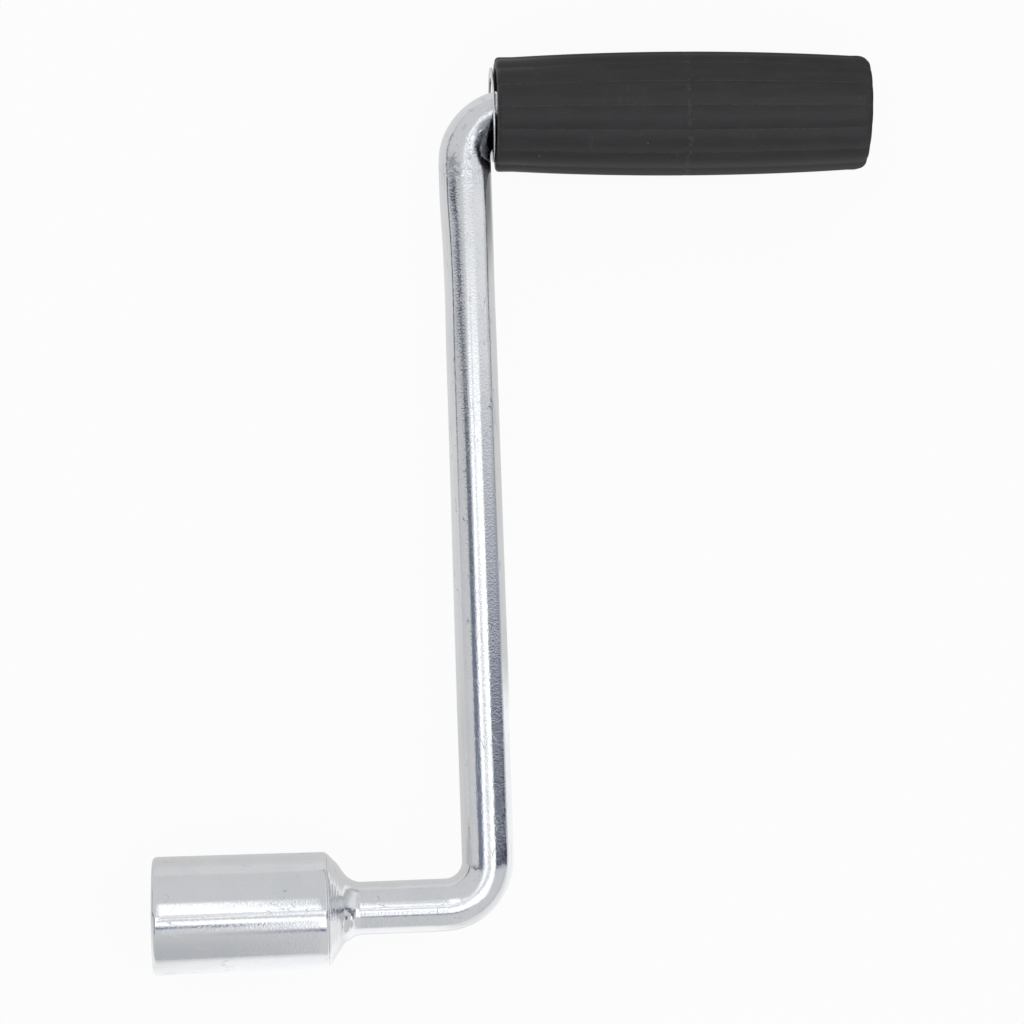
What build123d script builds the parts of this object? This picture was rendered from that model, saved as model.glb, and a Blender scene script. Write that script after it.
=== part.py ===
"""Hand crank with a hexagon drive socket and a revolving grip.

A round steel bar is bent twice into a Z: a short lower leg, a long arm and a leg for the grip.
A hexagon socket is fitted over the end of the lower leg and fillet welded all round its back face.
The grip is a fluted, barrel-shaped plastic moulding: an outer shell and an inner hub, joined by
ribs and a middle web. It turns freely on its leg, between a thin thrust washer beside the bend
and a washer that is riveted on the end of the bar.

Row frame, in millimetres: the origin is the middle of the socket's mouth, on the axis that the
crank turns about. +X runs along that axis from the mouth into the socket, +Y runs along the arm
towards the grip, and +Z is up as the crank lies on a table.
"""

import os
from math import cos, pi, radians, sin, sqrt, tan

from build123d import *

# ---- Bar -------------------------------------------------------------------------------
rod_diameter = 12.0
throw_length = 179.8  # socket axis to grip axis, measured along the arm's centreline
lower_leg = 36.9  # socket's back face to the arm's centreline
lower_bend_radius = 10.0  # centreline radius of the bend beside the socket
upper_bend_radius = 9.5  # centreline radius of the bend beside the grip
grip_leg_lean = 1.25  # degrees by which the grip's leg leans from parallel, towards the socket axis
stub_chamfer = 1.0  # on the end of the bar inside the socket

# ---- Drive socket ----------------------------------------------------------------------
hex_across_flats = 19.2  # for a 19 mm hexagon, with 0.2 mm of clearance
hex_depth = 24.0  # full hexagon, from the mouth
corner_wall = 2.4  # wall outside the hexagon's corners
lead_in = 0.5  # radial width of the mouth's chamfer outside the corners
mouth_rounding = 1.1
back_rounding = 0.6
drill_point_angle = 118.0  # degrees, of the pilot drill that leaves the cone below the hexagon
floor_thickness = 2.2  # metal between the drill's point and the bar's seat
seat_depth = 8.0  # how far the bar goes into the socket's back
seat_clearance = 0.05  # radial

# ---- Weld ------------------------------------------------------------------------------
weld_slope = 54.0  # degrees between the weld's face and the bar
weld_blend_radius = 4.0  # where the face runs out onto the bar
weld_edge_margin = 0.1  # flat ring left bare outside the weld

# ---- Grip ------------------------------------------------------------------------------
grip_length = 85.5
bore_clearance = 0.08  # radial, between the bar and the hub
hub_wall = 2.0
pocket_width = 2.3  # radial gap between the hub and the shell
shell_wall = 2.25  # at the ends, under the creases
flute_depth = 0.45  # crest to crease
flute_count = 15
flute_phase = 3.0  # degrees from +Z towards +Y of one crease
belly_rise = 1.1  # how much the crest's radius grows from the ends to the middle
collar_length = 4.0  # straight stretch at each end, before the barrel starts to swell
inner_rim_rounding = 0.9
outer_rim_rounding = 1.6
rib_count = 6
rib_thickness = 1.8
web_thickness = 10.0  # solid middle, between the pockets cored from the two ends
arm_gap = 0.85  # grip's end to the arm's side
bend_gap = 0.75  # end of the bend to the hub

# ---- Thrust washer, between the bend and the grip --------------------------------------
thrust_washer_thickness = 0.5
thrust_washer_width = 2.2  # radial
thrust_washer_gap = 0.15  # to the lower edge of the grip's end
thrust_washer_clearance = 0.15  # bore to the inside of the bend

# ---- Riveted end -----------------------------------------------------------------------
axial_play = 0.3  # hub to washer
washer_thickness = 1.8
washer_overhang = 0.9  # washer's rim beyond the hub
washer_clearance = 0.1  # radial, between the washer and its spigot
spigot_shoulder = 2.0  # width of the shoulder that the washer is riveted against
head_lip = 2.3  # rivet head's rim beyond the spigot
head_height = 2.4
head_land = 0.6  # straight side of the rivet head, under its dome
head_cover = 3.0  # how far the rivet head lies inside the grip's end

# ---- Sizes that follow -----------------------------------------------------------------
rod_radius = rod_diameter / 2

hex_across_corners = hex_across_flats * 2 / sqrt(3)
socket_radius = hex_across_corners / 2 + corner_wall
drill_point_length = hex_across_flats / 2 / tan(radians(drill_point_angle / 2))
socket_length = hex_depth + drill_point_length + floor_thickness + seat_depth
arm_x = socket_length + lower_leg

bore_radius = rod_radius + bore_clearance
hub_radius = bore_radius + hub_wall
recess_radius = hub_radius + pocket_width
grip_end_radius = recess_radius + shell_wall + flute_depth

lean = radians(grip_leg_lean)
upper_tangent = upper_bend_radius * tan((pi / 2 + lean) / 2)
grip_start = (rod_radius + arm_gap + grip_end_radius * sin(lean)) / cos(lean)
hub_start = upper_tangent + bend_gap
grip_end = grip_start + grip_length
head_top = grip_end - head_cover
washer_outside = head_top - head_height
washer_inside = washer_outside - washer_thickness
hub_end = washer_inside - axial_play

spigot_radius = rod_radius - spigot_shoulder
washer_radius = hub_radius + washer_overhang

# The thrust washer stands square to the socket's axis, between the arm's side and the lower edge
# of the leaning grip. Its bore lets the bar through where the bar is still in its bend.
thrust_washer_far_x = arm_x + rod_radius + arm_gap - thrust_washer_gap
thrust_washer_near_x = thrust_washer_far_x - thrust_washer_thickness
thrust_washer_y = throw_length - (thrust_washer_far_x - arm_x) * tan(lean)
bend_inside_radius = upper_bend_radius - rod_radius
into_bend = thrust_washer_near_x - (arm_x + rod_radius)
bend_inside_y = (
    throw_length - upper_tangent + sqrt(bend_inside_radius**2 - (bend_inside_radius - into_bend) ** 2)
)
thrust_washer_bore = thrust_washer_y - bend_inside_y + thrust_washer_clearance

# The grip's leg has its own plane: its normal is the leg's direction, and distances along the
# leg are counted from the corner where the arm's and the leg's centrelines meet.
corner = Vector(arm_x, throw_length, 0)
leg_direction = Vector(cos(lean), -sin(lean), 0)


def leg_plane(distance):
    """The plane square to the grip's leg, at a distance from its corner; local y is up."""
    return Plane(
        origin=corner + leg_direction * distance,
        x_dir=Vector(sin(lean), cos(lean), 0),
        z_dir=leg_direction,
    )


def leg_cylinder(radius, start, end):
    """A cylinder on the grip's axis, between two distances along the leg."""
    return leg_plane(start) * Cylinder(radius, end - start, align=(Align.CENTER, Align.CENTER, Align.MIN))


def revolved(profile_points, plane):
    """A solid turned about a plane's normal, from points given as (distance, radius)."""
    outline = Polyline(*[(radius, 0, distance) for distance, radius in profile_points], close=True)
    return plane * revolve(make_face(outline), axis=Axis.Z)


def make_crank_rod():
    """The bent bar, with the spigot and rivet head on its grip end."""
    centreline = FilletPolyline(
        (socket_length - seat_depth, 0, 0),
        (arm_x, 0, 0),
        corner,
        corner + leg_direction * washer_inside,
        radius=[lower_bend_radius, upper_bend_radius],
    )
    start = Plane(origin=centreline @ 0, z_dir=centreline % 0)
    bar = sweep(start * Circle(rod_radius), path=centreline)
    stub_edge = bar.edges().sort_by(Axis.X)[0]
    bar = chamfer(stub_edge, stub_chamfer)
    return bar + make_rivet()


def make_rivet():
    """The spigot that passes through the washer, and the domed head formed over it."""
    spigot = leg_cylinder(spigot_radius, washer_inside, washer_outside)
    head_radius = spigot_radius + head_lip
    dome_rise = head_height - head_land
    dome_radius = (head_radius**2 + dome_rise**2) / (2 * dome_rise)
    head = leg_cylinder(head_radius, washer_outside, head_top)
    head &= leg_plane(head_top - dome_radius) * Sphere(dome_radius)
    return spigot + head


def make_drive_socket():
    """The hexagon socket: a turned body with a broached blind hexagon and a seat for the bar."""
    along = Plane(origin=(0, 0, 0), x_dir=(0, 1, 0), z_dir=(1, 0, 0))
    body = along * Cylinder(socket_radius, socket_length, align=(Align.CENTER, Align.CENTER, Align.MIN))
    body = fillet(body.edges().filter_by(GeomType.CIRCLE).sort_by(Axis.X)[0], mouth_rounding)
    body = fillet(body.edges().filter_by(GeomType.CIRCLE).sort_by(Axis.X)[-1], back_rounding)

    hexagon = extrude(along * RegularPolygon(hex_across_corners / 2, 6), hex_depth)
    pilot_radius = hex_across_flats / 2
    drill_point = revolved(
        [(hex_depth, 0), (hex_depth, pilot_radius), (hex_depth + drill_point_length, 0)], along
    )
    chamfer_radius = hex_across_corners / 2 + lead_in
    mouth_chamfer = revolved([(0, 0), (0, chamfer_radius), (chamfer_radius, 0)], along)
    seat = along.offset(socket_length - seat_depth) * Cylinder(
        rod_radius + seat_clearance, seat_depth, align=(Align.CENTER, Align.CENTER, Align.MIN)
    )
    return body - hexagon - drill_point - mouth_chamfer - seat


def make_socket_weld():
    """The weld round the bar: a cone from the socket's back edge, blended out onto the bar."""
    slope = radians(weld_slope)
    base_radius = socket_radius - back_rounding - weld_edge_margin
    foot = (base_radius - rod_radius) / tan(slope)  # where the cone would meet the bar
    run_out = weld_blend_radius * tan(slope / 2)
    blend_start = (foot - run_out * cos(slope), rod_radius + run_out * sin(slope))
    blend_centre = (foot + run_out, rod_radius + weld_blend_radius)
    blend_middle = (
        blend_centre[0] - weld_blend_radius * sin(slope / 2),
        blend_centre[1] - weld_blend_radius * cos(slope / 2),
    )
    outline = Line((0, rod_radius), (0, base_radius))
    outline += Line((0, base_radius), blend_start)
    outline += ThreePointArc(blend_start, blend_middle, (foot + run_out, rod_radius))
    outline += Line((foot + run_out, rod_radius), (0, rod_radius))
    ring = revolve(make_face(outline), axis=Axis.X)
    return Pos(socket_length, 0, 0) * ring


def flute_outline(crest_radius):
    """One cross-section of the grip: convex arcs that meet in creases."""
    step = 2 * pi / flute_count
    phase = pi / 2 - radians(flute_phase)

    def at(radius, turns):
        angle = phase + turns * step
        return (radius * cos(angle), radius * sin(angle))

    crease_radius = crest_radius - flute_depth
    arcs = [
        ThreePointArc(at(crease_radius, n), at(crest_radius, n + 0.5), at(crease_radius, n + 1))
        for n in range(flute_count)
    ]
    return make_face(Curve() + arcs)


def crest_radius_at(distance):
    """Crest radius of the barrel at a distance from its end: straight collars, then an arc."""
    half_swell = grip_length / 2 - collar_length
    off_middle = min(abs(distance - grip_length / 2) / half_swell, 1.0)
    return grip_end_radius + belly_rise * (1 - off_middle**2)


def make_barrel():
    """The grip's outer form: a loft through fluted sections, with its rims rounded over."""
    swell_length = grip_length - 2 * collar_length
    span_count = 8
    stations = [0.0]
    stations += [
        collar_length + swell_length * n / span_count for n in range(span_count + 1)
    ]
    stations += [grip_length]
    barrel = loft([leg_plane(grip_start + s) * flute_outline(crest_radius_at(s)) for s in stations])

    envelope = leg_cylinder(grip_end_radius + 2 * belly_rise, grip_start, grip_end)
    envelope -= leg_plane(grip_start) * make_rim_cutter(inner_rim_rounding)
    envelope -= leg_plane(grip_end) * mirror(make_rim_cutter(outer_rim_rounding), about=Plane.XY)
    return barrel & envelope


def make_rim_cutter(rim_rounding):
    """The ring that rounds off a rim at z = 0: all that lies outside a quarter round there."""
    inner = grip_end_radius - rim_rounding
    outside = grip_end_radius + 3 * belly_rise
    half = sqrt(0.5)
    outline = ThreePointArc(
        (inner, 0),
        (inner + rim_rounding * half, rim_rounding * (1 - half)),
        (grip_end_radius, rim_rounding),
    )
    outline += Line((grip_end_radius, rim_rounding), (outside, rim_rounding))
    outline += Line((outside, rim_rounding), (outside, -rim_rounding))
    outline += Line((outside, -rim_rounding), (inner, -rim_rounding))
    outline += Line((inner, -rim_rounding), (inner, 0))
    return revolve(Plane.XZ * make_face(outline), axis=Axis.Z)


def make_grip_sleeve():
    """The grip: barrel, bore, end recesses, and pockets cored from both ends between ribs."""
    sleeve = make_barrel()
    sleeve -= leg_cylinder(bore_radius, grip_start, grip_end)
    sleeve -= leg_cylinder(recess_radius, grip_start, hub_start)
    sleeve -= leg_cylinder(recess_radius, hub_end, grip_end)
    middle = grip_start + grip_length / 2
    sleeve -= make_pockets(hub_start, middle - web_thickness / 2)
    sleeve -= make_pockets(middle + web_thickness / 2, hub_end)
    return sleeve


def make_pockets(start, end):
    """The ring of pockets between hub and shell, over one stretch of the leg."""
    ring = leg_cylinder(recess_radius, start, end) - leg_cylinder(hub_radius, start, end)
    ribs = [
        leg_plane(start)
        * Rot(0, 0, n * 360 / rib_count)
        * Box(
            recess_radius + shell_wall,
            rib_thickness,
            end - start,
            align=(Align.MIN, Align.CENTER, Align.MIN),
        )
        for n in range(rib_count)
    ]
    return ring - ribs


def make_end_washer():
    """The washer that holds the grip on, clamped between the bar's shoulder and its rivet head."""
    disc = leg_cylinder(washer_radius, washer_inside, washer_outside)
    return disc - leg_cylinder(spigot_radius + washer_clearance, washer_inside, washer_outside)


def make_thrust_washer():
    """The thin ring that keeps the grip's end off the bend."""
    face = Plane(origin=(thrust_washer_near_x, thrust_washer_y, 0), x_dir=(0, 1, 0), z_dir=(1, 0, 0))
    rings = Circle(thrust_washer_bore + thrust_washer_width) - Circle(thrust_washer_bore)
    return extrude(face * rings, thrust_washer_thickness)


parts = {
    "crank_rod": make_crank_rod(),
    "drive_socket": make_drive_socket(),
    "socket_weld": make_socket_weld(),
    "grip_sleeve": make_grip_sleeve(),
    "end_washer": make_end_washer(),
    "thrust_washer": make_thrust_washer(),
}

os.makedirs("parts", exist_ok=True)
for name, shape in parts.items():
    export_step(shape, f"parts/{name}.step")
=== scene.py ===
"""The crank handle, dressed: drawn bar, turned socket, hand-laid weld, washer and moulded grip.

Every new piece is a surface worked out on a grid in millimetres and stored in metres.
Lengths along the bar are counted from its end inside the socket, and lengths along the grip's
leg from the corner where the arm's and the leg's centrelines meet.
"""

import bpy
import numpy as np
from mathutils import Matrix, Vector


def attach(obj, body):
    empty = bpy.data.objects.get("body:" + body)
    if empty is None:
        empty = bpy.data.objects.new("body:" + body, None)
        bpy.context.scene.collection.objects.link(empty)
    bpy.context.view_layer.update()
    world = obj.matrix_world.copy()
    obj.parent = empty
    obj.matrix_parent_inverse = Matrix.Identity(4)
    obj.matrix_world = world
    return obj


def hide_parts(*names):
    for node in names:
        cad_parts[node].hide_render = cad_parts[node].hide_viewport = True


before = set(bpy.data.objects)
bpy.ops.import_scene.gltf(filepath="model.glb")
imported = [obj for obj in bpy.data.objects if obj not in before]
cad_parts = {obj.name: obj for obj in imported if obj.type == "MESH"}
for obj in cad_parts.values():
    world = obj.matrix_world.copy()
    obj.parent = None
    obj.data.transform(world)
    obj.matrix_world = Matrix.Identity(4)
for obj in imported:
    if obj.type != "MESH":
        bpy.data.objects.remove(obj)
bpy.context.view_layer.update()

# ---- Sizes, in millimetres, as in the solids -------------------------------------------
BAR_RADIUS = 6.0
THROW = 179.8
LOWER_BEND = 10.0
UPPER_BEND = 9.5
LEAN = np.radians(1.25)

HEX_FLATS = 19.2
HEX_DEPTH = 24.0
SOCKET_LENGTH = 39.968
SOCKET_RADIUS = HEX_FLATS / np.sqrt(3) + 2.4
SEAT_DEPTH = 8.0
SEAT_BORE = BAR_RADIUS + 0.05
DRILL_HALF_ANGLE = np.radians(59)
MOUTH_ROUNDING = 1.1
BACK_ROUNDING = 0.6
LEAD_IN = 0.5
ARM_X = SOCKET_LENGTH + 36.9

BORE_RADIUS = 6.08
HUB_RADIUS = 8.08
RECESS_RADIUS = 10.38
GRIP_END_RADIUS = 13.08
GRIP_LENGTH = 85.5
BELLY_RISE = 1.1
COLLAR = 4.0
INNER_RIM = 0.9
OUTER_RIM = (2.6, 1.5)  # along the grip, and inwards
END_CHAMFER = 0.3
FLUTES = 15
FLUTE_DEPTH = 0.45
FLUTE_PHASE = 3.0
RIBS = 6
RIB_THICKNESS = 1.8
WEB = 10.0
PARTING = 43.5  # the mould's parting ring, from the grip's inner end
OVERLAP = 0.3  # how far the grip's inner pieces run into one another

ARM_GAP = 0.85  # from the arm's side to the grip's nearest point
WASHER_FAR = ARM_X + BAR_RADIUS + ARM_GAP - 0.15
WASHER_THICKNESS = 0.5
WASHER_BORE = 8.547  # radius
WASHER_WIDTH = 2.2
GRIP_START = (BAR_RADIUS + ARM_GAP + GRIP_END_RADIUS * np.sin(LEAN)) / np.cos(LEAN)
GRIP_END = GRIP_START + GRIP_LENGTH
BEND_RUN = UPPER_BEND * np.tan((np.pi / 2 + LEAN) / 2)
HUB_START = BEND_RUN + 0.75
HEAD_TOP = GRIP_END - 3.0
HEAD_BASE = HEAD_TOP - 2.4
SHOULDER = HEAD_BASE - 1.8
HUB_END = SHOULDER - 0.3
SPIGOT_RADIUS = 4.0
HEAD_RADIUS = 6.3
HEAD_LAND = 0.6

# ---- Departures from the solids, in millimetres ----------------------------------------
LOWER_BEND_THINNING = 0.22
UPPER_BEND_THINNING = 0.50
SWELL_AT_BEND = 0.34
NECK_BEFORE_BEND = 0.14
ARM_THINNING = (0.20, 0.16)  # left, right
SOCKET_TAPER = (0.08, 0.32)  # all along, and more by the back
MOUTH_SKEW = 0.28
GRIP_END_SKEW = 0.35
PARTING_GROOVE = 0.05

LEG_ORIGIN = np.array([ARM_X, THROW, 0.0])
LEG_ALONG = np.array([np.cos(LEAN), -np.sin(LEAN), 0.0])
LEG_ACROSS = np.array([np.sin(LEAN), np.cos(LEAN), 0.0])
UP = np.array([0.0, 0.0, 1.0])


# ---- Meshes from grids -----------------------------------------------------------------
def make_surface(name, points, around=True, along=False, start_pole=False, end_pole=False):
    """A mesh from points[i, j]: i runs along, j runs round, each quad joins four neighbours.

    around closes j on itself, along closes i on itself, and a pole closes the first or last
    row with triangles to the row's mean.
    """
    rows, columns = points.shape[:2]
    number = np.arange(rows * columns).reshape(rows, columns)
    next_row = np.roll(number, -1, axis=0) if along else number[1:]
    this_row = number if along else number[:-1]
    if around:
        faces = np.stack(
            [this_row, np.roll(this_row, -1, 1), np.roll(next_row, -1, 1), next_row], axis=-1
        )
    else:
        faces = np.stack(
            [this_row[:, :-1], this_row[:, 1:], next_row[:, 1:], next_row[:, :-1]], axis=-1
        )
    vertices = points.reshape(-1, 3)
    face_list = faces.reshape(-1, 4).tolist()
    for wanted, row, turned in ((start_pole, 0, True), (end_pole, -1, False)):
        if not wanted:
            continue
        ring = number[row]
        pole = np.full(columns, len(vertices))
        vertices = np.vstack([vertices, points[row].mean(0)])
        pair = (np.roll(ring, -1), ring) if turned else (ring, np.roll(ring, -1))
        face_list += np.stack([pair[0], pair[1], pole], axis=-1).tolist()
    mesh = bpy.data.meshes.new(name)
    mesh.from_pydata(vertices / 1000.0, [], face_list)
    mesh.validate()
    mesh.shade_smooth()
    mesh.set_sharp_from_angle(angle=np.radians(35))
    piece = bpy.data.objects.new(name, mesh)
    bpy.context.scene.collection.objects.link(piece)
    return piece


def keep_on_points(piece, name, values):
    """Stores one vector for each point of a piece, for its material to follow."""
    attribute = piece.data.attributes.new(name, "FLOAT_VECTOR", "POINT")
    padded = np.zeros((len(piece.data.vertices), 3), dtype=np.float32)
    padded[: len(values)] = values
    padded[len(values) :] = values[-1]
    attribute.data.foreach_set("vector", padded.ravel())


def smooth_step(value, low, high):
    """0 below low, 1 above high, and a cubic ease between."""
    t = np.clip((value - low) / (high - low), 0.0, 1.0)
    return t * t * (3 - 2 * t)


def bump_at(value, middle, half_width):
    """1 at the middle, easing to 0 half a width away on each side."""
    return np.exp(-(((value - middle) / half_width) ** 2))


# ---- Bar -------------------------------------------------------------------------------
FIRST_TURN = ARM_X - LOWER_BEND - (SOCKET_LENGTH - SEAT_DEPTH)
ARM_START = FIRST_TURN + LOWER_BEND * np.pi / 2
ARM_END = ARM_START + THROW - BEND_RUN - LOWER_BEND
LEG_START = ARM_END + UPPER_BEND * (np.pi / 2 + LEAN)


def bar_centreline(distance):
    """Position and heading of the bar's centreline: straight, quarter turn left, straight,
    turn right by 90 degrees and the leg's lean, straight."""
    on_lower = np.clip(distance - FIRST_TURN, 0, ARM_START - FIRST_TURN) / LOWER_BEND
    on_arm = np.clip(distance - ARM_START, 0, ARM_END - ARM_START)
    on_upper = np.clip(distance - ARM_END, 0, LEG_START - ARM_END) / UPPER_BEND
    on_leg = np.maximum(distance - LEG_START, 0)
    x = SOCKET_LENGTH - SEAT_DEPTH + np.minimum(distance, FIRST_TURN)
    x = x + LOWER_BEND * np.sin(on_lower)
    y = LOWER_BEND * (1 - np.cos(on_lower)) + on_arm
    x = x + UPPER_BEND * (1 - np.cos(on_upper)) + on_leg * LEG_ALONG[0]
    y = y + UPPER_BEND * np.sin(on_upper) + on_leg * LEG_ALONG[1]
    return x, y, on_lower - on_upper


def make_bar():
    """The bar: a circle carried along the centreline, with its radius stepping down to the
    spigot and out to the domed rivet head.

    The circle is drawn thin on the outside of each bend and along the arm's upper half, swells a
    little on the left where the upper bend starts, and necks slightly before that, as the bending
    former leaves it.
    """
    shoulder = LEG_START - BEND_RUN + SHOULDER
    body = np.concatenate(
        [
            np.linspace(1.0, FIRST_TURN - 1, 40),
            np.linspace(FIRST_TURN, ARM_START, 44),
            np.linspace(ARM_START + 1, ARM_END - 1, 170),
            np.linspace(ARM_END, LEG_START, 48),
            np.linspace(LEG_START + 1, shoulder, 30),
        ]
    )
    head_height = HEAD_TOP - HEAD_BASE
    dome_rise = head_height - HEAD_LAND
    dome_radius = (HEAD_RADIUS**2 + dome_rise**2) / (2 * dome_rise)
    dome_angle = np.arcsin(HEAD_RADIUS / dome_radius) * np.linspace(1, 0, 14)[:-1]
    washer = HEAD_BASE - SHOULDER
    distance = np.concatenate(
        [
            [0.0],
            body,
            shoulder + np.array([0.0, washer, washer, washer + HEAD_LAND]),
            shoulder + washer + head_height - dome_radius * (1 - np.cos(dome_angle)),
        ]
    )
    radius = np.concatenate(
        [
            [BAR_RADIUS - 1.0],
            np.full(len(body), BAR_RADIUS),
            [SPIGOT_RADIUS, SPIGOT_RADIUS, HEAD_RADIUS, HEAD_RADIUS],
            dome_radius * np.sin(dome_angle),
        ]
    )
    x, y, heading = bar_centreline(distance)
    angle = np.linspace(0, 2 * np.pi, 96, endpoint=False)
    left = np.clip(np.sin(angle), 0, 1)[None, :] ** 2
    right = np.clip(-np.sin(angle), 0, 1)[None, :] ** 2
    in_lower = smooth_step(distance, FIRST_TURN - 3, FIRST_TURN + 6)
    in_lower = in_lower * smooth_step(-distance, -ARM_START - 3, -ARM_START + 6)
    in_upper = smooth_step(distance, ARM_END - 2, ARM_END + 7)
    in_upper = in_upper * smooth_step(-distance, -LEG_START - 3, -LEG_START + 6)
    swell = smooth_step(distance, ARM_END - 22, ARM_END - 8)
    swell = swell * smooth_step(-distance, -ARM_END - 9, -ARM_END + 3)
    neck = bump_at(distance, ARM_END - 31, 9.0)
    drawn = smooth_step(distance, ARM_START + 30, ARM_START + 110)
    drawn = (drawn * (radius == BAR_RADIUS))[:, None]
    ring = radius[:, None] - LOWER_BEND_THINNING * in_lower[:, None] * right
    ring = ring - UPPER_BEND_THINNING * in_upper[:, None] * left
    ring = ring + SWELL_AT_BEND * swell[:, None] * left
    ring = ring - NECK_BEFORE_BEND * neck[:, None] * (left + 0.5 * right)
    ring = ring - drawn * (ARM_THINNING[0] * left + ARM_THINNING[1] * right)
    side = ring * np.sin(angle)
    points = np.stack(
        [
            x[:, None] - np.sin(heading)[:, None] * side,
            y[:, None] + np.cos(heading)[:, None] * side,
            ring * np.cos(angle),
        ],
        axis=-1,
    )
    piece = make_surface("bar", points[:, ::-1], start_pole=True, end_pole=True)
    straight = np.stack(
        np.broadcast_arrays(distance[:, None], ring * np.cos(angle), side), axis=-1
    )
    keep_on_points(piece, "straightened", straight[:, ::-1].reshape(-1, 3) / 1000.0)
    return piece


# ---- Socket ----------------------------------------------------------------------------
def make_socket():
    """The socket: a turned profile carried round its axis, whose bore is the hexagon's radius at
    each angle, with a mouth chamfer that runs out on the hexagon's flats.

    The profile tapers a little towards the back, and the mouth is cut slightly out of square.
    """
    angle = np.linspace(0, 2 * np.pi, 240, endpoint=False)
    off_corner = np.abs((angle + np.pi / 6) % (np.pi / 3) - np.pi / 6)
    hexagon = HEX_FLATS / 2 / np.cos(np.pi / 6 - off_corner)
    widest = HEX_FLATS / np.sqrt(3) + LEAD_IN
    quarter = np.linspace(0, np.pi / 2, 9)
    profile_x = np.concatenate(
        [
            [SOCKET_LENGTH - SEAT_DEPTH, SOCKET_LENGTH],
            SOCKET_LENGTH - BACK_ROUNDING * (1 - np.sin(quarter[::-1])),
            np.linspace(SOCKET_LENGTH - BACK_ROUNDING, MOUTH_ROUNDING, 24)[1:-1],
            MOUTH_ROUNDING * (1 - np.sin(quarter)),
            [0.0],
        ]
    )
    profile_r = np.concatenate(
        [
            [SEAT_BORE, SEAT_BORE],
            SOCKET_RADIUS - BACK_ROUNDING * (1 - np.cos(quarter[::-1])),
            np.full(22, SOCKET_RADIUS),
            SOCKET_RADIUS - MOUTH_ROUNDING * (1 - np.cos(quarter)),
            [widest],
        ]
    )
    everywhere_less, more_by_back = SOCKET_TAPER
    profile_r[2:-1] -= everywhere_less + more_by_back * profile_x[2:-1] / SOCKET_LENGTH
    chamfer_x = (widest - hexagon)[None, :]
    down = np.linspace(0, 1, 12)[:, None]
    cone = np.linspace(0, 1, 6)[:-1, None]
    cone_length = HEX_FLATS / 2 / np.tan(DRILL_HALF_ANGLE)
    everywhere = np.ones_like(angle)
    depth = np.concatenate(
        [
            profile_x[:, None] * everywhere,
            chamfer_x + down * (HEX_DEPTH - chamfer_x),
            HEX_DEPTH + cone * cone_length * everywhere,
        ]
    )
    across = np.concatenate(
        [
            profile_r[:, None] * everywhere,
            hexagon + 0 * down,
            (1 - cone) * HEX_FLATS / 2 * everywhere,
        ]
    )
    out_of_square = MOUTH_SKEW * (1 + across * np.cos(angle) / SOCKET_RADIUS)
    depth = depth + out_of_square * smooth_step(-depth, -9.0, -1.5)
    points = np.stack([depth, across * np.cos(angle), across * np.sin(angle)], axis=-1)
    return make_surface("socket", points[:, ::-1], start_pole=True, end_pole=True)


# ---- Weld ------------------------------------------------------------------------------
WELD_PROFILE = np.array(
    [
        [-0.02, 12.6], [0.1, 12.72], [0.4, 12.5], [0.8, 12.0], [1.2, 11.45], [1.6, 10.95],
        [2.0, 10.4], [2.4, 9.85], [2.8, 9.25], [3.2, 8.65], [3.6, 8.1], [4.0, 7.7], [4.4, 7.35],
        [4.8, 7.05], [5.3, 6.72], [5.8, 6.45], [6.4, 6.22], [7.0, 6.08], [7.6, 5.9],
    ]
)


def make_weld():
    """The weld: a cone that curves out onto the bar, carried round it.

    Its radius rises and falls in a few broad waves round the bar. It is fuller on the arm's side
    and leaner on the other, with a lump near its foot there, and has one start-and-stop place on
    top: a hollow, and a raised ridge across the bead after it.
    """
    angle = np.linspace(0, 2 * np.pi, 260, endpoint=False)
    rows = np.linspace(0, len(WELD_PROFILE) - 1, 72)
    knots = np.arange(len(WELD_PROFILE))
    from_back = np.interp(rows, knots, WELD_PROFILE[:, 0])
    radius = np.interp(rows, knots, WELD_PROFILE[:, 1])
    kernel = np.array([1, 2, 3, 2, 1]) / 9
    radius[2:-2] = np.convolve(radius, kernel, mode="valid")
    fade = smooth_step(from_back, 0.0, 1.5) * smooth_step(-from_back, -7.4, -6.0)
    u, a = np.meshgrid(from_back, angle, indexing="ij")
    waves = 0.07 * np.sin(2 * a + 0.7) + 0.05 * np.sin(5 * a + 2.1 + 0.4 * u)
    waves = waves + 0.03 * np.sin(9 * a - 0.8 * u)

    def spot(depth, turn, long, wide):
        off = (a - np.radians(turn) + np.pi) % (2 * np.pi) - np.pi
        return np.exp(-(((u - depth) / long) ** 2) - ((off * radius[:, None] / wide) ** 2))

    # angle 0 is +Y, 90 degrees is up
    fuller = 0.50 * spot(2.8, 0, 1.3, 7.0) - 0.42 * spot(3.0, 180, 2.6, 9.0)
    hollow = -0.60 * spot(3.35, 116, 0.50, 1.7) - 0.25 * spot(3.9, 96, 0.5, 0.9)
    ridge = 0.36 * spot(5.5, 112, 0.35, 1.7) + 0.22 * spot(4.5, 128, 0.45, 1.0)
    lump = 0.34 * spot(4.8, 172, 0.6, 1.6)
    lines = 0.03 * np.sin(u * 2 * np.pi / 0.62 + 1.5 * np.sin(a)) * smooth_step(-u, -3.2, -1.6)
    across = radius[:, None] + fade[:, None] * (waves + fuller + hollow + ridge + lump + lines)
    points = np.stack(
        [SOCKET_LENGTH + u, across * np.cos(a), across * np.sin(a)], axis=-1
    )
    return make_surface("weld_bead", points[:, ::-1])


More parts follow.
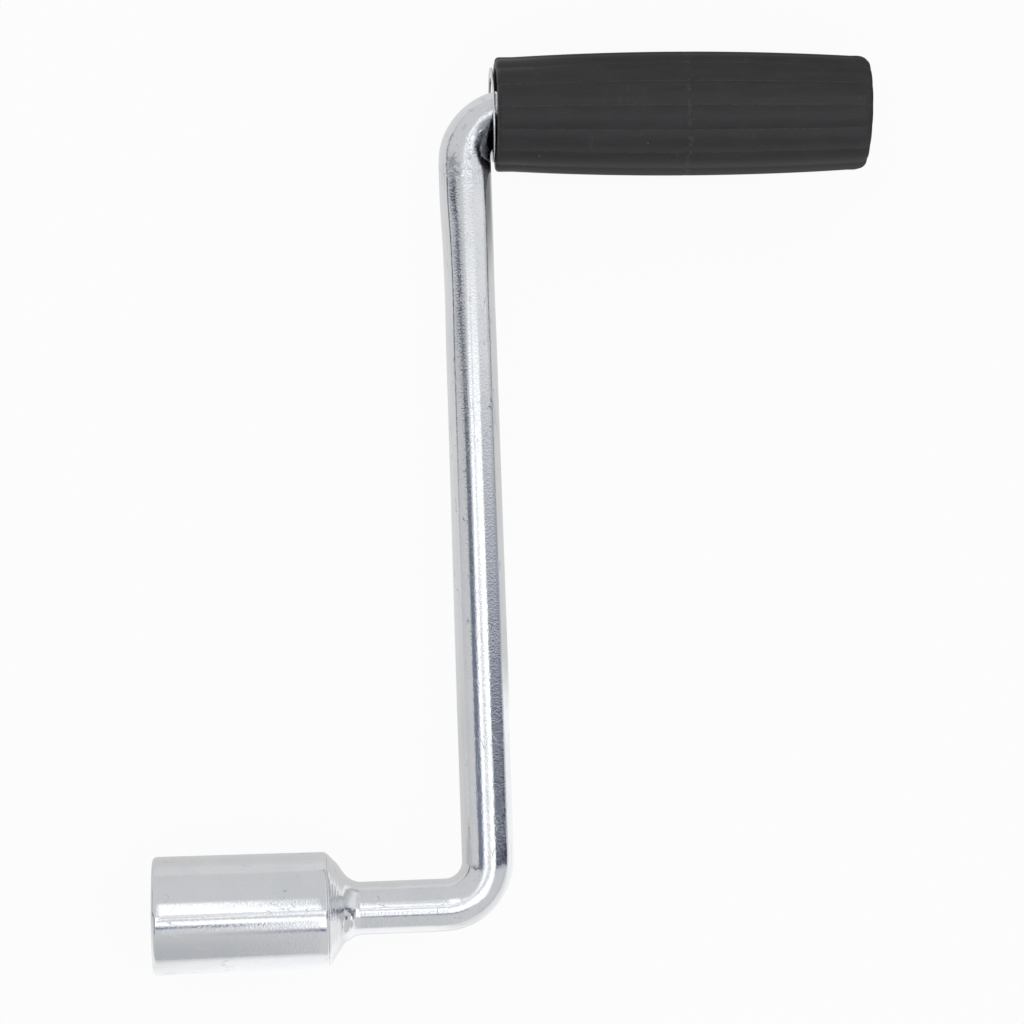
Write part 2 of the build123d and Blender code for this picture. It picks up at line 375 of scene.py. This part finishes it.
# ---- Grip ------------------------------------------------------------------------------
def flute_section(flutes, depth, crest):
    """Angles, radius as a share of the crest's, and place across its flute from -1 to 1, of one
    section: circular arcs through crest and creases, with each crease rounded a little."""
    share = np.sin(np.linspace(-1, 1, 20, endpoint=False) * np.pi / 2)
    half = np.pi / flutes
    centres = np.arange(flutes) * 2 * half
    u = np.tile(share, flutes)
    angle = (centres[:, None] + share[None, :] * half).ravel()
    crease = crest - depth
    rise = crest - crease * np.cos(half)
    chord = crease * np.sin(half)
    lobe = (chord**2 + rise**2) / (2 * rise)
    centre = crest - lobe
    off = 1 - np.abs(u)
    off = np.sqrt(off**2 + 0.03**2) - 0.03
    a = (1 - off) * half
    radius = centre * np.cos(a) + np.sqrt(lobe**2 - (centre * np.sin(a)) ** 2)
    return angle + half, radius / crest, u


def on_leg(distance, radius, angle):
    """Points round the grip's leg: angle 0 is up, and it turns towards the arm's far side."""
    return (
        LEG_ORIGIN
        + distance[..., None] * LEG_ALONG
        + (radius * np.sin(angle))[..., None] * LEG_ACROSS
        + (radius * np.cos(angle))[..., None] * UP
    )


def make_grip_shell():
    """The grip's shell: the fluted section carried along the barrel's profile, over each rim,
    and back along the inside. Its outer end is rounded more, and is slightly out of square."""
    angle, share, place = flute_section(FLUTES, FLUTE_DEPTH, GRIP_END_RADIUS + BELLY_RISE)
    angle = angle + np.radians(FLUTE_PHASE)
    quarter = np.linspace(0, np.pi / 2, 8)
    drop, inset = 1 - np.sin(quarter), 1 - np.cos(quarter)
    near_line = PARTING + np.array([-0.6, -0.3, -0.15, -0.07, 0, 0.07, 0.15, 0.3, 0.6])
    middle = np.linspace(INNER_RIM, GRIP_LENGTH - OUTER_RIM[0], 120)[1:-1]
    middle = np.sort(np.concatenate([middle, near_line]))
    s = np.concatenate([INNER_RIM * inset, middle, GRIP_LENGTH - OUTER_RIM[0] * inset[::-1]])
    swell = np.clip(np.abs(s - GRIP_LENGTH / 2) / (GRIP_LENGTH / 2 - COLLAR), 0, 1)
    crest = GRIP_END_RADIUS + BELLY_RISE * (1 - swell**2)
    crest = crest - PARTING_GROOVE * bump_at(s, PARTING, 0.12)
    crest = crest - np.concatenate([INNER_RIM * drop, 0 * middle, OUTER_RIM[1] * drop[::-1]])
    inner_s = np.array([GRIP_LENGTH, GRIP_LENGTH - END_CHAMFER, 60, 30, END_CHAMFER, 0.0])
    inner_r = RECESS_RADIUS + np.array([END_CHAMFER, 0, 0, 0, 0, END_CHAMFER])
    everywhere = np.ones_like(angle)
    distance = np.concatenate([s, inner_s])[:, None] * everywhere
    radius = np.concatenate([crest[:, None] * share, inner_r[:, None] * everywhere])
    turn = angle * np.ones_like(radius)
    out_of_square = GRIP_END_SKEW * (1 - np.sin(turn))
    out_of_square = out_of_square * smooth_step(distance, GRIP_LENGTH - 14, GRIP_LENGTH)
    points = on_leg(distance - out_of_square + GRIP_START, radius, turn)
    piece = make_surface("grip_shell", points, along=True)
    follow = np.stack(np.broadcast_arrays(distance, place, radius), axis=-1)
    keep_on_points(piece, "fluting", follow.reshape(-1, 3))
    return piece


def make_grip_inside():
    """The grip's hub, middle web and ribs: tubes and bars inside the shell."""
    angle = np.linspace(0, 2 * np.pi, 96, endpoint=False)
    middle = GRIP_START + GRIP_LENGTH / 2
    web_r = RECESS_RADIUS + OVERLAP
    lead = 0.22
    outline = np.array(
        [
            [HUB_START, BORE_RADIUS + lead], [HUB_START, HUB_RADIUS],
            [middle - WEB / 2, HUB_RADIUS], [middle - WEB / 2, web_r],
            [middle + WEB / 2, web_r], [middle + WEB / 2, HUB_RADIUS],
            [HUB_END, HUB_RADIUS], [HUB_END, BORE_RADIUS + lead],
            [HUB_END - lead, BORE_RADIUS], [HUB_START + lead, BORE_RADIUS],
        ]
    )
    spread = np.zeros((len(outline), len(angle)))
    points = on_leg(outline[:, :1] + spread, outline[:, 1:] + spread, angle + spread)
    inside = [make_surface("grip_hub", points, along=True)]
    root, tip = HUB_RADIUS - OVERLAP, RECESS_RADIUS + OVERLAP
    corners = np.array([[root, -1], [root, 1], [tip, 1], [tip, -1]]) * [1, RIB_THICKNESS / 2]
    for start, end, name in (
        (HUB_START, middle - WEB / 2 + 0.5, "inner"),
        (middle + WEB / 2 - 0.5, HUB_END, "outer"),
    ):
        for number in range(RIBS):
            turn = number * 2 * np.pi / RIBS
            radial = np.sin(turn) * LEG_ACROSS + np.cos(turn) * UP
            sideways = np.cos(turn) * LEG_ACROSS - np.sin(turn) * UP
            section = corners[:, :1] * radial + corners[:, 1:] * sideways
            ends = np.array([start, start, end, end])[:, None, None]
            rows = LEG_ORIGIN + ends * LEG_ALONG + section
            label = f"grip_rib_{name}_{number + 1}"
            inside.append(make_surface(label, rows, start_pole=True, end_pole=True))
    return inside


# ---- Thrust washer ---------------------------------------------------------------------
def make_washer():
    """The loose washer between the bend and the grip: a flat ring with softened edges, square to
    the X axis."""
    near, far = WASHER_FAR - WASHER_THICKNESS, WASHER_FAR
    outside = WASHER_BORE + WASHER_WIDTH
    ring = np.array(
        [
            [near, WASHER_BORE + 0.1], [near, outside - 0.40], [near + 0.04, outside - 0.12],
            [near + 0.14, outside], [far - 0.12, outside], [far - 0.03, outside - 0.06],
            [far, outside - 0.20], [far, WASHER_BORE + 0.1], [far - 0.1, WASHER_BORE],
            [near + 0.1, WASHER_BORE],
        ]
    )
    angle = np.linspace(0, 2 * np.pi, 120, endpoint=False)
    spread = np.zeros((len(ring), len(angle)))
    across = ring[:, 1:] * np.cos(angle)
    centre = THROW - (WASHER_FAR - ARM_X) * np.tan(LEAN)
    points = np.stack([ring[:, :1] + spread, centre + across, ring[:, 1:] * np.sin(angle)], axis=-1)
    return make_surface("washer", points[:, ::-1], along=True)


# ---- Wiring of materials ---------------------------------------------------------------
class Wiring:
    """A node tree being wired. Each method adds one node and gives back its output."""

    def __init__(self, tree):
        self.nodes = tree.nodes
        self.links = tree.links

    def feed(self, socket, value):
        if isinstance(value, bpy.types.NodeSocket):
            self.links.new(value, socket)
        elif isinstance(value, tuple) and len(value) == 3 and socket.type == "RGBA":
            socket.default_value = (*value, 1.0)
        else:
            socket.default_value = value

    def math(self, operation, *values):
        node = self.nodes.new("ShaderNodeMath")
        node.operation = operation
        for socket, value in zip(node.inputs, values):
            self.feed(socket, value)
        return node.outputs[0]

    def add(self, first, *others):
        for other in others:
            first = self.math("ADD", first, other)
        return first

    def times(self, first, *others):
        for other in others:
            first = self.math("MULTIPLY", first, other)
        return first

    def less(self, first, second):
        return self.math("SUBTRACT", first, second)

    def between(self, share, first, second):
        """A number between two, by a share from 0 to 1."""
        return self.add(self.times(self.less(1.0, share), first), self.times(share, second))

    def mapped(self, kind, value, low, high, start, end):
        node = self.nodes.new("ShaderNodeMapRange")
        node.interpolation_type = kind
        names = ("Value", "From Min", "From Max", "To Min", "To Max")
        for name, number in zip(names, (value, low, high, start, end)):
            self.feed(node.inputs[name], number)
        return node.outputs["Result"]

    def ease(self, value, low, high, start=0.0, end=1.0):
        """start below low, end above high, with a smooth step between."""
        return self.mapped("SMOOTHSTEP", value, low, high, start, end)

    def ramp(self, value, low, high, start, end):
        """start below low, end above high, and a straight line between."""
        return self.mapped("LINEAR", value, low, high, start, end)

    def noise(self, vector, scale, detail=2.0, roughness=0.5, distortion=0.0):
        node = self.nodes.new("ShaderNodeTexNoise")
        names = ("Vector", "Scale", "Detail", "Roughness", "Distortion")
        for name, value in zip(names, (vector, scale, detail, roughness, distortion)):
            self.feed(node.inputs[name], value)
        return node.outputs["Fac"]

    def cells(self, vector, scale):
        """Distance to the nearest of scattered points, and that point's own colour."""
        node = self.nodes.new("ShaderNodeTexVoronoi")
        self.feed(node.inputs["Vector"], vector)
        self.feed(node.inputs["Scale"], scale)
        return node.outputs["Distance"], node.outputs["Color"]

    def stretched(self, vector, factors, turn=(0.0, 0.0, 0.0), shift=(0.0, 0.0, 0.0)):
        node = self.nodes.new("ShaderNodeMapping")
        self.feed(node.inputs["Vector"], vector)
        node.inputs["Scale"].default_value = factors
        node.inputs["Rotation"].default_value = turn
        node.inputs["Location"].default_value = shift
        return node.outputs["Vector"]

    def parts(self, vector):
        node = self.nodes.new("ShaderNodeSeparateXYZ")
        self.feed(node.inputs[0], vector)
        return node.outputs

    def blend(self, share, first, second):
        """A colour between two, by a share from 0 to 1."""
        node = self.nodes.new("ShaderNodeMix")
        node.data_type = "RGBA"
        self.feed(node.inputs["Factor"], share)
        self.feed(node.inputs[6], first)
        self.feed(node.inputs[7], second)
        return node.outputs[2]

    def millimetres(self, vector):
        node = self.nodes.new("ShaderNodeVectorMath")
        node.operation = "SCALE"
        self.feed(node.inputs[0], vector)
        node.inputs["Scale"].default_value = 1000.0
        return node.outputs[0]

    def relief(self, height):
        """A bump from a height in millimetres."""
        node = self.nodes.new("ShaderNodeBump")
        node.inputs["Strength"].default_value = 1.0
        node.inputs["Distance"].default_value = 0.001
        self.feed(node.inputs["Height"], height)
        return node.outputs[0]


def start_material(name, attribute=None):
    """A new material, its wiring, its Principled shader, and coordinates in metres: the object's
    own, or those stored under the attribute's name."""
    material = bpy.data.materials.new(name)
    material.use_nodes = True
    wiring = Wiring(material.node_tree)
    shader = material.node_tree.nodes["Principled BSDF"]
    if attribute:
        source = wiring.nodes.new("ShaderNodeAttribute")
        source.attribute_name = attribute
        place = source.outputs["Vector"]
    else:
        source = wiring.nodes.new("ShaderNodeTexCoord")
        place = source.outputs["Object"]
    return material, wiring, shader, place


ZINC = (0.80, 0.805, 0.82)
DULL_ZINC = (0.77, 0.78, 0.80)
MARKED_ZINC = (0.30, 0.31, 0.33)
# colour of the painted reflection of the dark grip inside the upper bend, on plate worn thin there
GRIP_REFLECTION_ON_WORN_ZINC = (0.10, 0.11, 0.13)


def make_zinc(
    name, attribute=None, grain=0.02, grain_side=None, lumps=0.0, rings=0.002, base=0.06, worked=()
):
    """Bright zinc plate: a fine grain that breaks up sharp reflections, small dull spots, blotches
    where the plate is duller, faint rings round the piece, scattered pits and hairline scratches.

    grain, lumps and rings are heights in millimetres, and base is the roughness between marks.
    The grain is strongest on top and fades beyond grain_side, in millimetres to either side.
    Each stretch in worked, from start to end along the bar and by an amount, is rougher and
    lumpier, as bending leaves it. Only the bar has such stretches, and with them a grain that
    changes along the arm, and a painted reflection of the grip on worn plate inside the upper bend.
    """
    material, w, shader, place = start_material(name, attribute)
    place = w.millimetres(place)
    fine = w.noise(place, 2.3, 1.0, 0.6)
    elsewhere = w.stretched(place, (1.0, 1.0, 1.0), shift=(7.3, 2.9, 5.1))
    spots = w.ease(w.noise(elsewhere, 2.4, 1.0, 0.5), 0.52, 0.60)
    if grain_side:
        side = w.math("ABSOLUTE", w.parts(place)[2])
        on_top = w.ease(side, grain_side, grain_side + 1.2, 1.0, 0.2)
        fine = w.times(fine, on_top)
        spots = w.times(spots, on_top)
    if worked:
        # coarser low on the arm than high up, and finest on the short leg
        along = w.parts(place)[0]
        coarse = w.times(
            w.ramp(along, ARM_START, ARM_END - 40, 1.75, 0.6),
            w.ease(along, ARM_START - 4, ARM_START + 6, 0.3, 1.0),
        )
        fine = w.times(fine, coarse)
    broad = w.noise(place, 0.11, 3.0, 0.6)
    dull = w.ease(broad, 0.38, 0.68)
    ring = w.noise(w.stretched(place, (3.2, 0.30, 0.30)), 1.0, 1.0, 0.5)
    # pits: a dot in about one cell in four
    distance, tint = w.cells(place, 0.28)
    chosen = w.ease(w.parts(tint)[0], 0.74, 0.76)
    size = w.ramp(w.parts(tint)[1], 0.0, 1.0, 0.03, 0.075)
    pit = w.times(w.less(1.0, w.ease(distance, w.times(size, 0.4), size)), chosen)
    # hairlines: thin level lines of a drawn-out noise, kept to patches
    lines = w.noise(w.stretched(place, (0.10, 0.45, 0.45), (0.0, 0.3, 0.5)), 0.9, 1.0, 0.4, 0.6)
    hair = w.less(1.0, w.ease(w.math("ABSOLUTE", w.less(lines, 0.5)), 0.0, 0.007))
    patch = w.ease(w.noise(place, 0.16, 1.0), 0.50, 0.58)
    hair = w.times(hair, patch)
    height = w.add(
        w.times(fine, grain),
        w.times(ring, rings),
        w.times(pit, -0.04),
        w.times(hair, -0.018),
    )
    if lumps:
        height = w.add(height, w.times(w.noise(place, 0.55, 2.0, 0.5, 0.4), lumps))
    roughness = w.add(w.ramp(broad, 0.3, 0.7, base, base + 0.04), w.times(spots, 0.07))
    mark = w.math("MAXIMUM", w.times(pit, 0.75), w.times(hair, 0.5))
    mark = w.math("MAXIMUM", mark, w.times(spots, 0.025))
    if worked:
        here = 0.0
        for start, end, amount in worked:
            near = w.times(w.ease(along, start - 6, start + 4), w.ease(along, end + 6, end - 4))
            here = w.add(here, w.times(near, amount))
        hammered = w.noise(place, 0.6, 3.0, 0.55, 0.4)
        height = w.add(height, w.times(hammered, here, 0.09))
        roughness = w.add(roughness, w.times(here, 0.05))
        mark = w.math("MAXIMUM", mark, w.times(w.ease(hammered, 0.58, 0.66), here, 0.22))
        # painted reflection of the dark grip on the inside of the upper bend, on plate worn thin
        # there, crossed by light slanting scratches
        edge = w.ramp(along, ARM_END - 3, ARM_END + 8, -2.6, 0.6)
        inside = w.ease(w.parts(place)[2], edge, w.less(edge, 1.4))
        inside = w.times(
            inside,
            w.ease(along, ARM_END - 6, ARM_END + 2),
            w.ease(along, LEG_START + 3, LEG_START - 2),
        )
        slanted = w.noise(w.stretched(place, (0.25, 1.6, 1.6), (0.0, 0.0, 0.6)), 1.4, 2.0, 0.6)
        # painted reflection of the grip: a dark patch inside the upper bend, broken by light
        # scratches
        thin = w.times(inside, w.ease(slanted, 0.70, 0.58), 0.85)
    w.links.new(w.relief(height), shader.inputs["Normal"])
    tone = w.blend(dull, ZINC, DULL_ZINC)
    if worked:
        # the painted reflection of the grip goes into the plate's colour here
        tone = w.blend(thin, tone, GRIP_REFLECTION_ON_WORN_ZINC)
    w.links.new(w.blend(mark, tone, MARKED_ZINC), shader.inputs["Base Color"])
    shader.inputs["Metallic"].default_value = 1.0
    w.links.new(w.add(roughness, w.times(mark, 0.2)), shader.inputs["Roughness"])
    return material


GREYED_PLASTIC = (0.0230, 0.0208, 0.0224)
BLACK_PLASTIC = (0.0125, 0.0112, 0.0122)
DUST = (0.20, 0.195, 0.19)


def make_plastic(name, attribute=None):
    """Black moulded plastic: a fine spark-eroded skin, long flow marks, patches greyed by handling
    and a few pale specks. With an attribute to follow it also has dust in the creases, scuffs by
    the parting ring and fine scratches."""
    material, w, shader, place = start_material(name)
    place = w.millimetres(place)
    skin = w.noise(place, 2.6, 2.0, 0.6)
    flow = w.noise(w.stretched(place, (0.05, 0.5, 0.5)), 1.6, 2.0, 0.6)
    handled = w.noise(place, 0.16, 3.0, 0.6, 0.4)
    distance, tint = w.cells(place, 0.45)
    chosen = w.ease(w.parts(tint)[0], 0.93, 0.95)
    speck = w.times(w.less(1.0, w.ease(distance, 0.03, 0.085)), chosen)
    shade = w.add(w.times(flow, 0.45), w.times(handled, 0.35), w.times(skin, 0.20))
    colour = w.blend(w.ease(shade, 0.36, 0.64), BLACK_PLASTIC, GREYED_PLASTIC)
    if attribute:
        source = w.nodes.new("ShaderNodeAttribute")
        source.attribute_name = attribute
        along, across, _ = w.parts(source.outputs["Vector"])
        rough = w.noise(place, 0.8, 2.0, 0.6)
        crease = w.ease(w.math("ABSOLUTE", across), 0.93, 1.0)
        crease = w.times(crease, w.ease(rough, 0.35, 0.6))
        by_line = w.math("ABSOLUTE", w.less(along, PARTING))
        beside = w.less(1.0, w.ease(by_line, 0.1, 1.2))
        scuff = w.times(beside, w.ease(rough, 0.5, 0.62), 0.5)
        # fine scratches across the flutes, in patches
        lines = w.noise(w.stretched(place, (0.9, 0.12, 0.12), (0.2, 0.0, 0.3)), 0.8, 1.0, 0.4, 0.5)
        hair = w.less(1.0, w.ease(w.math("ABSOLUTE", w.less(lines, 0.5)), 0.0, 0.008))
        hair = w.times(hair, w.ease(handled, 0.50, 0.60), 0.10)
        dust = w.math("MAXIMUM", w.times(crease, 0.16), w.times(scuff, 0.25))
        speck = w.math("MAXIMUM", speck, w.math("MAXIMUM", dust, hair))
    w.links.new(w.blend(speck, colour, DUST), shader.inputs["Base Color"])
    w.links.new(w.relief(w.times(skin, 0.006)), shader.inputs["Normal"])
    w.links.new(w.ramp(shade, 0.35, 0.65, 0.43, 0.56), shader.inputs["Roughness"])
    return material


# ---- Build and ride --------------------------------------------------------------------
bends = ((FIRST_TURN, ARM_START, 0.35), (ARM_END - 4, LEG_START, 1.0))
bar_zinc = make_zinc(
    "bright zinc on the bar", "straightened", 0.019, 3.6, rings=0.001, worked=bends
)
socket_zinc = make_zinc("bright zinc on the socket", grain=0.007, rings=0.0012)
weld_zinc = make_zinc("bright zinc on the weld", grain=0.020, lumps=0.05, base=0.10)
washer_zinc = make_zinc("duller zinc on the washer", grain=0.010, base=0.16)
grip_plastic = make_plastic("black plastic, fluted", "fluting")
inner_plastic = make_plastic("black plastic, inside")


def fit(piece, body, node, material):
    """Puts a finished piece on its body, in a node's place, with its finish."""
    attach(piece, body)
    if node:
        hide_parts(node)
    piece.data.materials.append(material)


fit(make_bar(), "crank", "crank_rod", bar_zinc)
fit(make_socket(), "crank", "drive_socket", socket_zinc)
fit(make_weld(), "crank", "socket_weld", weld_zinc)
fit(make_washer(), "crank", "thrust_washer", washer_zinc)
fit(make_grip_shell(), "grip", "grip_sleeve", grip_plastic)
for inner in make_grip_inside():
    fit(inner, "grip", None, inner_plastic)
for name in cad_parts:
    solid = bpy.data.objects.get(name)
    if solid:
        for slot in solid.material_slots:
            slot.material = grip_plastic if "grip" in name else socket_zinc


# ---- Floor, light and camera -----------------------------------------------------------
def make_floor():
    """A flat pale floor that the socket and the grip both rest on.

    Seen in the metal it glows with painted light and shade: brighter in front, a little dim on
    both sides of the arm, dark far to the left and right, and a painted shadow under the grip.
    """
    grip_middle = THROW - 1.3
    clearance = 0.02
    drop = (GRIP_END_RADIUS + BELLY_RISE - SOCKET_RADIUS) / grip_middle
    reach = np.array([-3000.0, 3000.0])
    x, y = np.meshgrid(reach, reach)
    points = np.stack([x, y, -SOCKET_RADIUS - clearance - drop * y], axis=-1)
    floor = make_surface("floor", points, around=False)
    material = bpy.data.materials.new("pale floor")
    material.use_nodes = True
    w = Wiring(material.node_tree)
    w.nodes.clear()
    out = w.nodes.new("ShaderNodeOutputMaterial")
    mix = w.nodes.new("ShaderNodeMixShader")
    diffuse = w.nodes.new("ShaderNodeBsdfDiffuse")
    diffuse.inputs["Color"].default_value = (0.92, 0.92, 0.92, 1)
    glow = w.nodes.new("ShaderNodeEmission")
    path = w.nodes.new("ShaderNodeLightPath")
    x, y, _ = w.parts(w.nodes.new("ShaderNodeTexCoord").outputs["Object"])
    # painted light and shade on the floor, seen only in the metal: dimmer beside the arm, darker
    # far out
    left = w.ease(y, 0.03, 0.07, 0.73, 0.82)
    left = w.times(left, w.ease(x, 0.045, 0.03, 1.0, 0.96))
    far_left = w.times(w.ease(x, -0.15, -0.25), w.ease(y, 0.06, 0.10))
    left = w.times(left, w.less(1.0, w.times(far_left, 0.5)))
    right = w.ease(y, 0.040, 0.056, 1.18, 0.76)
    right = w.times(right, w.ease(x, 0.17, 0.25, 1.0, 0.45))
    # painted shadow of the grip on the floor, seen only in the metal
    painted_grip_shadow = w.times(w.ease(y, 0.140, 0.164), w.ease(x, 0.084, 0.106))
    right = w.times(right, w.less(1.0, w.times(painted_grip_shadow, 0.68)))
    shade = w.between(w.ease(x, 0.070, 0.085), left, right)
    front = w.times(
        w.ramp(y, -0.30, -0.03, 0.85, 1.22),
        w.ease(x, -0.02, 0.03, 0.90, 1.0),
        w.ease(x, 0.062, 0.08, 1.0, 0.82),
    )
    shade = w.between(w.ease(y, -0.002, -0.025), shade, front)
    # how much of the floor is glow and how much is lit: to the camera, in the metal, and else none
    seen = path.outputs["Is Camera Ray"]
    w.links.new(w.between(seen, shade, 1.0), glow.inputs["Strength"])
    share = w.add(w.times(seen, 0.93), w.times(path.outputs["Is Glossy Ray"], 0.86))
    w.links.new(w.math("MINIMUM", share, 0.93), mix.inputs[0])
    w.links.new(diffuse.outputs[0], mix.inputs[1])
    w.links.new(glow.outputs[0], mix.inputs[2])
    w.links.new(mix.outputs[0], out.inputs[0])
    floor.data.materials.append(material)


def make_studio():
    """The studio round the object, by direction: a wide softbox overhead with a second one
    behind, a dark card on the left, a room that darkens to the right and front, and a dark far
    wall low on the left."""
    world = bpy.data.worlds.new("studio")
    bpy.context.scene.world = world
    world.use_nodes = True
    w = Wiring(world.node_tree)
    sky = world.node_tree.nodes["Background"]
    direction = w.nodes.new("ShaderNodeTexCoord").outputs["Generated"]
    x, y, z = w.parts(direction)
    room_level = 0.72
    box_level = 0.72
    darkest = 0.02
    # over the short leg, as against over the socket
    by_leg = w.ease(x, 0.003, 0.016)
    # room: to the right it darkens towards the front, and low down
    right = w.add(
        w.ramp(y, -0.085, -0.05, 0.06, 0.36),
        w.ramp(y, -0.05, 0.0, 0.0, 0.16),
        w.ramp(y, 0.0, 0.035, 0.0, 0.38),
    )
    right = w.between(w.ease(y, -0.13, -0.21), right, room_level)
    right = w.less(right, w.times(w.ease(z, 0.32, 0.08), w.ease(y, 0.0, 0.04, 0.07, 0.22)))
    room = w.between(w.ease(x, 0.45, 0.55), room_level, right)
    room = w.less(room, w.times(w.ease(w.times(x, -1.0), 0.84, 1.0), 0.04))
    front = w.times(w.ease(w.times(y, -1.0), 0.30, 1.0), w.ease(x, 0.6, 0.3), w.less(1.0, by_leg))
    room = w.less(room, w.times(front, 0.16))
    # far wall, low on the left
    wall = w.times(w.ease(z, 0.065, 0.045), w.ease(x, -0.75, -0.9))
    room = w.less(room, w.times(wall, w.ease(y, 0.008, 0.028, 0.05, 0.68)))
    # softboxes: a wide one in front with a dim seam in it, and a soft one behind
    above = w.ease(z, 0.0, 0.2)
    front_edge = w.between(by_leg, -0.235, -0.50)
    front_box = w.times(
        w.ease(x, -0.37, -0.27),
        w.ease(x, 0.54, 0.45),
        w.ease(y, w.less(front_edge, 0.02), w.add(front_edge, 0.02)),
        w.ease(y, 0.060, 0.025),
        above,
    )
    # the seam widens towards the front, and runs on further to the right
    half = w.ramp(y, -0.09, -0.04, 0.20, 0.08)
    seam = w.ease(w.math("ABSOLUTE", w.less(x, 0.02)), half, w.times(half, 0.8))
    seam = w.times(seam, w.ease(y, -0.015, -0.050))
    seam_end = w.ease(x, -0.01, 0.03, -0.11, -0.15)
    seam = w.times(seam, w.ease(y, seam_end, w.add(seam_end, 0.02)))
    # the box stops short of the middle over the socket
    over_socket = w.times(w.ease(x, -0.09, -0.07), w.ease(x, 0.008, 0.0), w.ease(y, -0.02, 0.0))
    front_box = w.less(w.times(front_box, w.less(1.0, over_socket)), w.times(seam, 1.25))
    back_edge = w.between(by_leg, 0.46, 0.24)
    back_box = w.times(
        w.ease(x, -0.11, -0.07),
        w.ease(x, 0.08, 0.04),
        w.ease(y, 0.10, 0.12),
        w.ease(y, w.add(back_edge, 0.07), w.less(back_edge, 0.05)),
        above,
    )
    # fainter light between the two boxes
    glow = w.times(w.ease(y, 0.02, 0.06), w.ease(x, -0.30, -0.14), w.ease(x, 0.60, 0.30))
    glow = w.times(glow, w.ease(y, 0.092, 0.080))
    boxes = w.times(w.math("MAXIMUM", front_box, back_box), box_level)
    glow = w.math("MAXIMUM", w.times(glow, 0.27), boxes)
    # dim line in front of the softbox
    off = w.less(front_edge, y)
    line = w.times(
        w.ease(off, 0.02, 0.04),
        w.ease(off, 0.13, 0.09),
        w.ease(x, -0.3, -0.2),
        w.ease(x, 0.3, 0.2),
    )
    room = w.less(room, w.times(line, 0.42))
    # dark card on the left
    near_edge = w.add(
        w.ramp(y, -0.03, 0.035, -0.38, -0.47),
        w.ease(y, 0.036, 0.050, 0.0, -0.15),
        w.ramp(y, 0.052, 0.080, 0.0, -0.13),
    )
    far_edge = w.add(w.ramp(y, 0.015, 0.04, -0.70, -0.80), w.ramp(y, 0.04, 0.07, 0.0, -0.18))
    card = w.times(
        w.ease(x, w.add(near_edge, 0.02), w.less(near_edge, 0.04)),
        w.ease(x, w.less(far_edge, 0.025), w.add(far_edge, 0.025)),
        w.ease(y, 0.14, 0.12),
        w.ease(y, -0.5, -0.4),
        w.ease(z, 0.0, 0.05),
    )
    card_level = w.ease(y, -0.06, 0.03, 0.25, 0.10)
    strength = w.math("MAXIMUM", w.between(card, w.add(room, glow), card_level), darkest)
    # the darker, the bluer
    tint = w.blend(w.ease(strength, 0.62, 0.28), (0.968, 0.982, 1.0), (0.82, 0.94, 1.24))
    # beyond the floor's edge the camera sees plain white
    seen = w.nodes.new("ShaderNodeLightPath").outputs["Is Camera Ray"]
    w.links.new(w.blend(seen, tint, (1.0, 1.0, 1.0)), sky.inputs["Color"])
    w.links.new(w.between(seen, strength, 1.0), sky.inputs["Strength"])


def make_camera():
    """A long lens above the crank, a little to the socket's side of the arm's middle."""
    data = bpy.data.cameras.new("camera")
    data.sensor_width = 36.0
    data.lens = 133.37
    camera = bpy.data.objects.new("camera", data)
    place = Vector((0.0351, 0.0915, 0.864))
    aim = Vector((0.0849, 0.0890, 0.0))
    back = (place - aim).normalized()
    up = Vector((0.03307, 0.99945, 0.0))
    right = up.cross(back).normalized()
    turn = Matrix((right, back.cross(right), back)).transposed().to_4x4()
    camera.matrix_world = Matrix.Translation(place) @ turn
    bpy.context.scene.collection.objects.link(camera)
    bpy.context.scene.camera = camera


make_floor()
make_studio()
make_camera()
bpy.context.scene.view_settings.view_transform = "Standard"
